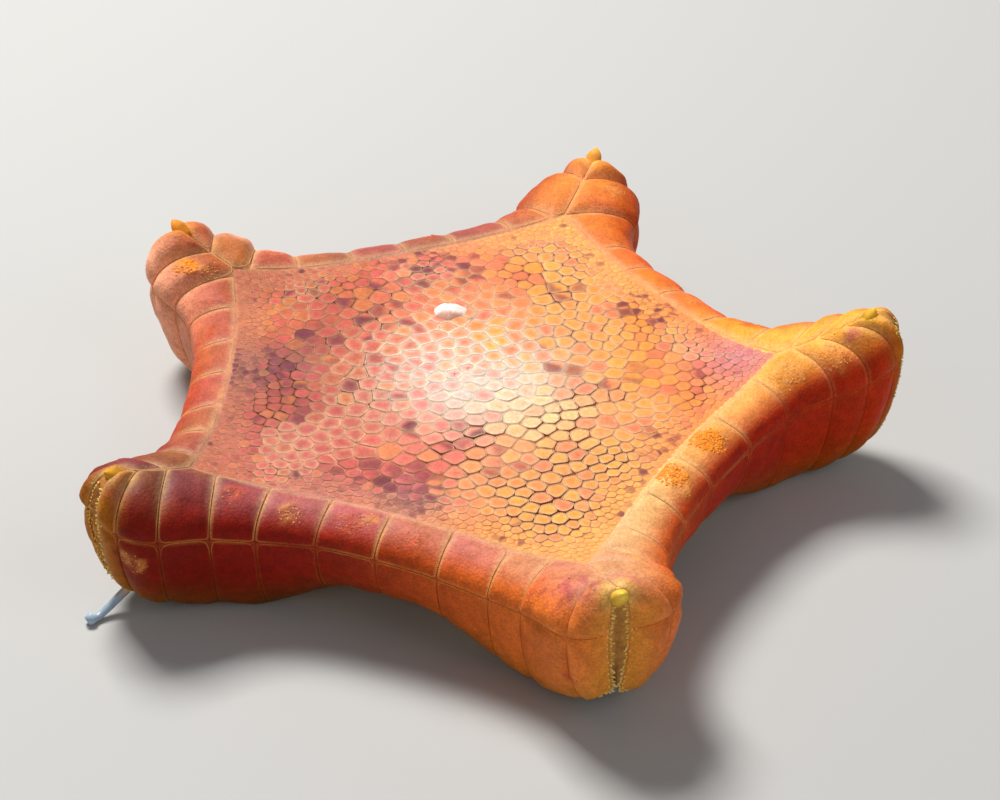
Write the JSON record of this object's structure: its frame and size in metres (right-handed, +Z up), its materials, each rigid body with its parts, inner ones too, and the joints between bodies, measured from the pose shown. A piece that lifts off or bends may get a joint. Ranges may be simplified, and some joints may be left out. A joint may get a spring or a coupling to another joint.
{
  "type": "starfish",
  "caption": "Stout sea star resting on the soles of its arms, with a flat tiled disc, a thick rim of swollen plates, upturned arm tips and a furrowed under side",
  "frame": {"origin": "on the floor, under the middle of the whole animal's box", "axes": "+Z up from the soles to the tiled upper side, -Y towards the front arm, +X towards the right arm"},
  "size_m": [0.1362, 0.1422, 0.0326],
  "materials": {
    "skin": "wet orange skin over limy plates, salmon and mauve on the disc, rust red on the sides, fine granules",
    "sieve_plate": "pale limy plate with fine winding grooves",
    "tip_plate": "smooth yellow limy cone",
    "jaw": "pale yellow limy plates with blunt spines",
    "tube_feet": "soft translucent pale feet"
  },
  "bodies": {
    "root": {"disc": "skin", "arm_right": "skin", "arm_back": "skin", "arm_back_left": "skin", "arm_left": "skin", "arm_front": "skin", "madreporite": "sieve_plate", "terminal_right": "tip_plate", "terminal_back": "tip_plate", "terminal_back_left": "tip_plate", "terminal_left": "tip_plate", "terminal_front": "tip_plate", "jaw_1": "jaw", "jaw_2": "jaw", "jaw_3": "jaw", "jaw_4": "jaw", "jaw_5": "jaw"}
  },
  "joints": []
}
